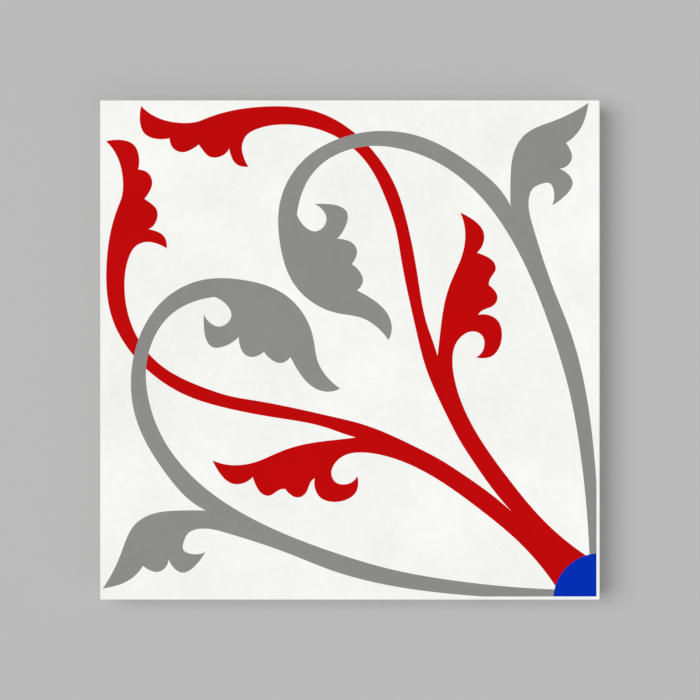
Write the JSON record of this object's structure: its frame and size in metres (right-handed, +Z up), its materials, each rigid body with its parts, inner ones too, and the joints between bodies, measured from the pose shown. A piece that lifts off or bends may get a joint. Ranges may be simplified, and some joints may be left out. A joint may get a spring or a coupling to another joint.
{
  "type": "cement floor tile",
  "caption": "Square pressed cement floor tile with an inlaid corner rosette of red and grey foliate scrolls on a white field.",
  "frame": {"origin": "middle of the bedding face, the flat underside that the tile is laid on", "axes": "+Z up out of the walking face, X and Y along the sides, with the blue corner of the ornament at +X and -Y"},
  "size_m": [0.2, 0.2, 0.016],
  "materials": {
    "cement": "matte"
  },
  "bodies": {
    "root": {"floor_tile": "cement"}
  },
  "joints": []
}
